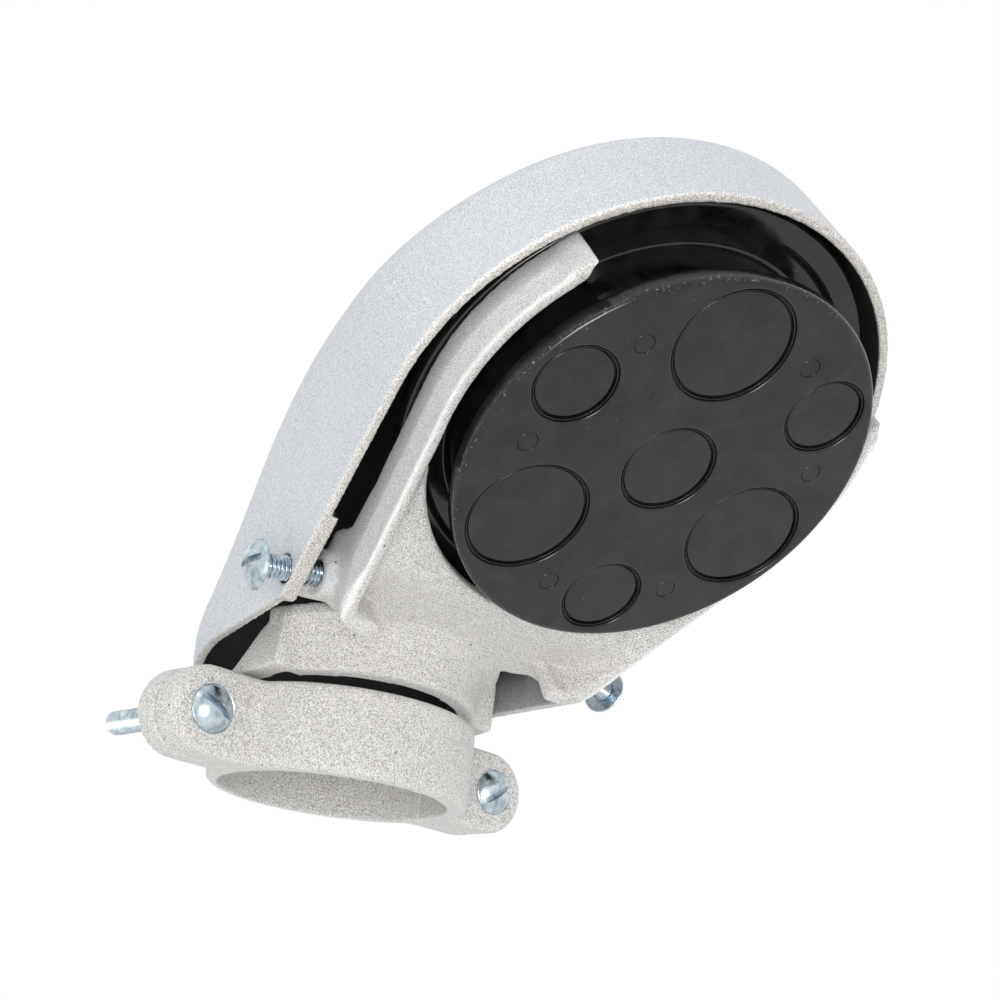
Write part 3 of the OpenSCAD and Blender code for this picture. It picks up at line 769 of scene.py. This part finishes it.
def rounded(corners, radius, steps=4):
    """A polyline with its inner corners replaced by short curves."""
    line = [Vector(corners[0])]
    for i, (before, corner, after) in enumerate(zip(corners, corners[1:], corners[2:])):
        before, corner, after = Vector(before), Vector(corner), Vector(after)
        # Two curves share each stretch, except the first one
        share = 0.45 if i else 0.95
        cut = min(radius, share * (before - corner).length, 0.45 * (after - corner).length)
        start = corner + (before - corner).normalized() * cut
        end = corner + (after - corner).normalized() * cut
        for t in (k / steps for k in range(steps + 1)):
            line.append((1 - t) ** 2 * start + 2 * t * (1 - t) * corner + t * t * end)
    return line + [Vector(corners[-1])]


def knockout_places(sizes):
    """Each knockout as (centre, radius), and the centres of the ejector pin marks."""
    def at(pitch, degrees):
        angle = sizes.turn + math.radians(degrees)
        return pitch * math.cos(angle), pitch * math.sin(angle)
    thirds = (0, 120, 240)
    knockouts = [((0, 0), sizes.centre_r)]
    knockouts += [(at(sizes.large_pitch, a), sizes.large_r) for a in thirds]
    knockouts += [(at(sizes.small_pitch, a + 60), sizes.small_r) for a in thirds]
    pins = [at(sizes.pin_pitch, a + side) for a in thirds for side in (35, -35)]
    return knockouts, pins


def insulator_mesh(sizes):
    """The insulator in its own frame: the face at level 0, its depth below."""
    form = bmesh.new()
    knockouts, pins = knockout_places(sizes)
    sink, low = sizes.sink, sizes.sink + sizes.crease
    outer_r, rim_count = sizes.disc_r - 1.1 * sizes.disc_edge, 192
    bands = []
    for centre, radius in knockouts:
        count = 96 if radius > 16 * MM else 72
        # The wall goes down in two steps to a crease, whose thin web breaks under a punch
        wall = rounded([(radius + r * MM, z) for r, z in (
            (1.6, 0), (0.9, 0), (0.6, -0.9 * sink), (0.35, -0.9 * sink), (0.25, -0.45 * sink),
            (0.0, -0.45 * sink), (-0.15, -low), (-0.45, -low), (-0.65, -sink), (-1.2, -sink))],
            0.6 * MM)
        sweep_round(form, centre, wall, count)
        bands.append((centre, wall[0].x, wall[-1].x, count, -sink))
    mark = 0.12 * MM
    for centre in pins:
        step = rounded([(sizes.pin_r + r * MM, z) for r, z in (
            (0.3, 0), (0, 0), (-0.12, -3 * mark), (-0.3, -mark), (-0.6, -mark))], 0.1 * MM)
        sweep_round(form, centre, step, 40)
        bands.append((centre, step[0].x, step[-1].x, 40, -mark))
    loops = [ring((0, 0), outer_r, 0, rim_count)]
    for centre, outer, inner, count, _ in bands:
        loops += [ring(centre, outer, 0, count), ring(centre, inner, 0, count)]
    flat, links = [], []
    for loop in loops:
        first = len(flat)
        flat += [p.to_2d() for p in loop]
        links += [(first + i, first + (i + 1) % len(loop)) for i in range(len(loop))]
    corners, _, faces, *_ = geometry.delaunay_2d_cdt(flat, links, [], 0, 1e-7)

    def level_of(face):
        """None where a wall goes down, or else how high the face lies."""
        middle = sum((corners[i] for i in face), Vector((0, 0))) / len(face)
        for centre, outer, inner, count, level in bands:
            reach = (middle - Vector(centre)).length
            if reach < inner:
                return level
            if reach < outer:
                return None
        return 0

    for face in faces:
        level = level_of(face)
        if level is not None:
            form.faces.new([form.verts.new((*corners[i], level)) for i in face])
    recess = sizes.flange_depth + sizes.flange_t / 2
    back = sizes.flange_depth + sizes.flange_t
    inner_r = sizes.waist_r - sizes.wall
    shell = rounded([
        (outer_r, 0), (sizes.disc_r, 0), (sizes.disc_r, -sizes.disc_t),
        (sizes.waist_r, -sizes.disc_t - 1.2 * MM), (sizes.waist_r, -recess),
        (sizes.band_r, -recess), (sizes.band_r, -sizes.flange_depth),
        (sizes.flange_r, -sizes.flange_depth), (sizes.flange_r, -back), (inner_r, -back),
        (inner_r, -sizes.wall), (0, -sizes.wall)], sizes.disc_edge, 5)
    sweep_round(form, (0, 0), shell, rim_count)
    bmesh.ops.remove_doubles(form, verts=form.verts, dist=2e-6)
    bmesh.ops.recalc_face_normals(form, faces=form.faces)
    return settled(form, "insulator")


class WEATHERHEAD_OT_insulator(bpy.types.Operator):
    """Make the black insulator with its sunk knockouts and ejector pin marks"""

    bl_idname = "weatherhead.insulator"
    bl_label = "Insulator"

    def execute(self, context):
        sizes = context.scene.weatherhead_moulding
        face = face_frame()
        mesh = insulator_mesh(sizes)
        mesh.transform(face)
        mesh.shade_smooth()
        mesh.set_sharp_from_angle(angle=math.radians(50))
        mesh = applied(mesh, "WEIGHTED_NORMAL", weight=80, keep_sharp=True)
        piece = new_piece("knockout_insulator", mesh, black_moulded_plastic(sizes, face),
                          "knockout_plate")
        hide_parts("insulator")
        return {"FINISHED"}


# ---- Screws ----


def thread_tree():
    """Nodes that wind a rolled right-hand thread down from the origin, closed at both ends."""
    tree = bpy.data.node_groups.new("Rolled thread", "GeometryNodeTree")
    for name, kind in (("Radius", "Float"), ("Depth", "Float"), ("Pitch", "Float"),
                       ("Length", "Float"), ("Chamfer", "Float"), ("Around", "Int"),
                       ("Rows", "Int"), ("Finish", "Material")):
        tree.interface.new_socket(name, in_out="INPUT", socket_type="NodeSocket" + kind)
    tree.interface.new_socket("Geometry", in_out="OUTPUT", socket_type="NodeSocketGeometry")
    given = add(tree, "NodeGroupInput").outputs
    work = functools.partial(calc, tree)
    grid = add(tree, "GeometryNodeMeshGrid", None, {
        "Size X": 1.0, "Size Y": 1.0, "Vertices X": given["Around"], "Vertices Y": given["Rows"]})
    spot = add(tree, "ShaderNodeSeparateXYZ", None, {
        0: add(tree, "GeometryNodeInputPosition").outputs[0]})
    share = work("ADD", spot.outputs["X"], 0.5)
    angle = work("MULTIPLY", share, 2 * math.pi)
    down = work("MULTIPLY", work("SUBTRACT", 0.5, spot.outputs["Y"]), given["Length"])
    # A crest runs where the turns so far, along and around, make a whole number
    turns = work("ADD", work("DIVIDE", down, given["Pitch"]), share)
    wave = work("MULTIPLY", work("PINGPONG", turns, 0.5), 2.0)
    flank = add(tree, "ShaderNodeMapRange", {"interpolation_type": "SMOOTHSTEP"}, {
        "Value": wave, "From Min": 0.12, "From Max": 0.9}).outputs[0]
    radius = work("SUBTRACT", given["Radius"], work("MULTIPLY", flank, given["Depth"]))
    left = work("SUBTRACT", given["Length"], down)
    tip = work("ADD", work("SUBTRACT", given["Radius"], given["Chamfer"]), left)
    radius = work("MINIMUM", radius, tip)
    inside = work("LESS_THAN", work("ABSOLUTE", spot.outputs["Y"]), 0.4999)
    radius = work("MULTIPLY", radius, inside)
    place = add(tree, "ShaderNodeCombineXYZ", None, {
        "X": work("MULTIPLY", radius, work("COSINE", angle)),
        "Y": work("MULTIPLY", radius, work("SINE", angle)),
        "Z": work("MULTIPLY", down, -1.0)}).outputs[0]
    moved = add(tree, "GeometryNodeSetPosition", None, {
        "Geometry": grid.outputs["Mesh"], "Position": place}).outputs[0]
    closed = add(tree, "GeometryNodeMergeByDistance", None, {
        "Geometry": moved, "Distance": 2e-6}).outputs[0]
    real = add(tree, "GeometryNodeRealizeInstances", None, {"Geometry": closed}).outputs[0]
    done = add(tree, "GeometryNodeSetMaterial", None, {
        "Geometry": real, "Material": given["Finish"]}).outputs[0]
    add(tree, "NodeGroupOutput", None, {"Geometry": done})
    return tree


def threaded_rod(tree, sizes, long, finish):
    """A plain mesh of the thread, from the node tree."""
    holder = shown("holder", bpy.data.meshes.new("holder"))
    modifier = holder.modifiers.new("Thread", "NODES")
    modifier.node_group = tree
    wanted = {"Radius": sizes.thread_r, "Depth": sizes.thread_depth, "Pitch": sizes.pitch,
              "Length": long, "Chamfer": 1.2 * MM, "Around": 33,
              "Rows": int(long / sizes.pitch * 9), "Finish": finish}
    for socket in tree.interface.items_tree:
        if socket.in_out == "INPUT":
            modifier[socket.identifier] = wanted[socket.name]
    return evaluated(holder)


def screw_head(sizes, turn):
    """A round head with its driver slot, seated at the origin and rising along Z."""
    form = bmesh.new()
    radius, height = sizes.head_r, sizes.head_h
    dome_r = (radius * radius + height * height) / (2 * height)
    reach = math.asin(radius / dome_r)
    dome = [(dome_r * math.sin(reach * i / 20), height - dome_r + dome_r * math.cos(reach * i / 20))
            for i in range(21)]
    skirt = [(radius, 0.25 * MM), (radius - 0.25 * MM, 0), (0, 0)]
    sweep_round(form, (0, 0), dome[:-1] + [(radius - 0.05 * MM, 0.6 * MM)] + skirt, 80)
    bmesh.ops.remove_doubles(form, verts=form.verts, dist=2e-6)
    bmesh.ops.recalc_face_normals(form, faces=form.faces)
    cutter = bmesh.new()
    bmesh.ops.create_cube(cutter, size=1, matrix=Matrix.Rotation(turn, 4, "Z")
                          @ Matrix.Translation((0, 0, height - sizes.slot_depth + 5 * MM))
                          @ Matrix.Diagonal((40 * MM, sizes.slot_w, 10 * MM, 1)))
    return applied(cut_by(settled(form, "head"), settled(cutter, "slot")), "BEVEL",
                   width=0.18 * MM, segments=2, limit_method="ANGLE", angle_limit=math.radians(40))


class WEATHERHEAD_OT_screws(bpy.types.Operator):
    """Make the two clamp screws and the two hood screws with real threads and slots"""

    bl_idname = "weatherhead.screws"
    bl_label = "Screws"

    def execute(self, context):
        sizes = context.scene.weatherhead_screws
        zinc = bright_zinc(sizes)
        tree = thread_tree()
        # Joint, node, body, how far the slot is turned
        screws = (
            ("clamp_screw_left_turn", "clamp_screw_left", "left_clamp_screw", 148),
            ("clamp_screw_right_turn", "clamp_screw_right", "right_clamp_screw", 42),
            ("hood_screw_left_turn", "hood_screw_left", "left_hood_screw", 100),
            ("hood_screw_right_turn", "hood_screw_right", "right_hood_screw", 70),
        )
        for joint, node, body, turn in screws:
            origin, out = pivot(joint)
            place = axis_frame(origin, out, Vector((1, 0, 0)) if abs(out.x) < 0.5 else Vector((0, 0, 1)))
            long = self.reach(frame["nodes"][node].data, origin, out)
            form = bmesh.new()
            form.from_mesh(threaded_rod(tree, sizes, long, zinc))
            bmesh.ops.recalc_face_normals(form, faces=form.faces)
            form.from_mesh(screw_head(sizes, math.radians(turn)))
            mesh = settled(form, node)
            mesh.transform(place)
            mesh.shade_smooth()
            mesh.set_sharp_from_angle(angle=math.radians(35))
            piece = new_piece("zinc_" + node, mesh, zinc, body)
            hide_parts(node)
        return {"FINISHED"}

    @staticmethod
    def reach(mesh, origin, out):
        """How far a CAD screw runs down from under its head."""
        return -min((vertex.co - origin).dot(out) for vertex in mesh.vertices)


# ---- Studio ----


def studio_floor(sizes):
    """A plain pale floor: matt paper that shows the object's shadow."""
    material, tree, shader, place = finish_of("Matt white paper", 0.0, 0.9)
    fibre = noise(tree, place, 2 * MM, 2, 0.5)
    shade = blend(tree, ramp(tree, fibre, 0.3, 0.7, 0, 0.1), rgba(sizes.floor_colour), (1, 1, 1, 1))
    tree.links.new(shade, shader.inputs["Base Color"])
    return material


def room(sizes):
    """Even soft light from all round; the camera, gloss and glass see a plain white room."""
    world = bpy.data.worlds.new("White room")
    world.use_nodes = True
    tree = world.node_tree
    tree.nodes.clear()
    path = add(tree, "ShaderNodeLightPath").outputs
    seen = calc(tree, "MAXIMUM", path["Is Camera Ray"], path["Is Glossy Ray"])
    seen = calc(tree, "MAXIMUM", seen, path["Is Transmission Ray"])
    soft = add(tree, "ShaderNodeBackground", None, {
        "Color": (1, 1, 1, 1), "Strength": sizes.ambient}).outputs[0]
    white = add(tree, "ShaderNodeBackground", None, {
        "Color": (1, 1, 1, 1), "Strength": 1.0}).outputs[0]
    mixed = add(tree, "ShaderNodeMixShader", None, {0: seen, 1: soft, 2: white}).outputs[0]
    add(tree, "ShaderNodeOutputWorld", None, {"Surface": mixed})
    return world


def lamp(name, spot, aim, size, power, tint):
    """A square soft lamp that faces a point."""
    light = bpy.data.lights.new(name, "AREA")
    light.size = size
    light.energy = power
    light.color = linear(tint)
    holder = shown(name, light)
    holder.location = spot
    holder.rotation_euler = (Vector(aim) - Vector(spot)).to_track_quat("-Z", "Y").to_euler()


class WEATHERHEAD_OT_stage(bpy.types.Operator):
    """Set up the floor, the soft light and the camera"""

    bl_idname = "weatherhead.stage"
    bl_label = "Studio"

    def execute(self, context):
        scene = context.scene
        sizes = scene.weatherhead_stage
        centre = (Vector(CAD_BOX[0]) + Vector(CAD_BOX[1])) / 2
        form = bmesh.new()
        bmesh.ops.create_grid(form, x_segments=2, y_segments=2, size=4,
                              matrix=Matrix.Translation((0, 0, sizes.floor_z)))
        mesh = settled(form, "floor")
        mesh.materials.append(studio_floor(sizes))
        shown("floor", mesh)
        scene.world = room(sizes)
        lamp("key_lamp", centre + Vector((-0.64, -0.74, -0.34)), centre, 0.42, sizes.key, "#FFFDFA")
        lamp("top_lamp", centre + Vector((-0.9, -0.2, 0.9)), centre, 0.35, sizes.top, "#F6F9FF")
        camera = bpy.data.cameras.new("camera")
        camera.lens = sizes.lens
        camera.sensor_width = 36
        eye = shown("camera", camera)
        ahead = Vector(sizes.look).normalized()
        turn = ahead.to_track_quat("-Z", "Y").to_matrix().to_4x4()
        eye.matrix_world = Matrix.Translation(sizes.eye) @ turn @ Matrix.Rotation(sizes.roll, 4, "Z")
        scene.camera = eye
        scene.view_settings.view_transform = "Standard"
        return {"FINISHED"}


class WEATHERHEAD_PT_pieces(bpy.types.Panel):
    """Buttons for the pieces of the weatherhead, and their sizes"""

    bl_label = "Weatherhead"
    bl_idname = "WEATHERHEAD_PT_pieces"
    bl_space_type = "VIEW_3D"
    bl_region_type = "UI"
    bl_category = "Weatherhead"

    def draw(self, context):
        for operator, settings in PIECES:
            box = self.layout.box()
            box.operator(operator.bl_idname)
            group = getattr(context.scene, settings)
            for name in group.bl_rna.properties.keys():
                if name not in ("rna_type", "name"):
                    box.prop(group, name)


PIECES = (
    (WEATHERHEAD_OT_castings, "weatherhead_castings"),
    (WEATHERHEAD_OT_hood, "weatherhead_castings"),
    (WEATHERHEAD_OT_insulator, "weatherhead_moulding"),
    (WEATHERHEAD_OT_screws, "weatherhead_screws"),
    (WEATHERHEAD_OT_stage, "weatherhead_stage"),
)


def register():
    for name, group in SETTINGS.items():
        bpy.utils.register_class(group)
        setattr(bpy.types.Scene, name, bpy.props.PointerProperty(type=group))
    for operator, _ in PIECES:
        bpy.utils.register_class(operator)
    bpy.utils.register_class(WEATHERHEAD_PT_pieces)


def unregister():
    bpy.utils.unregister_class(WEATHERHEAD_PT_pieces)
    for operator, _ in reversed(PIECES):
        bpy.utils.unregister_class(operator)
    for name, group in SETTINGS.items():
        delattr(bpy.types.Scene, name)
        bpy.utils.unregister_class(group)


def main():
    register()
    for operator, _ in PIECES:
        group, name = operator.bl_idname.split(".")
        getattr(getattr(bpy.ops, group), name)()


if __name__ == "__main__":
    main()
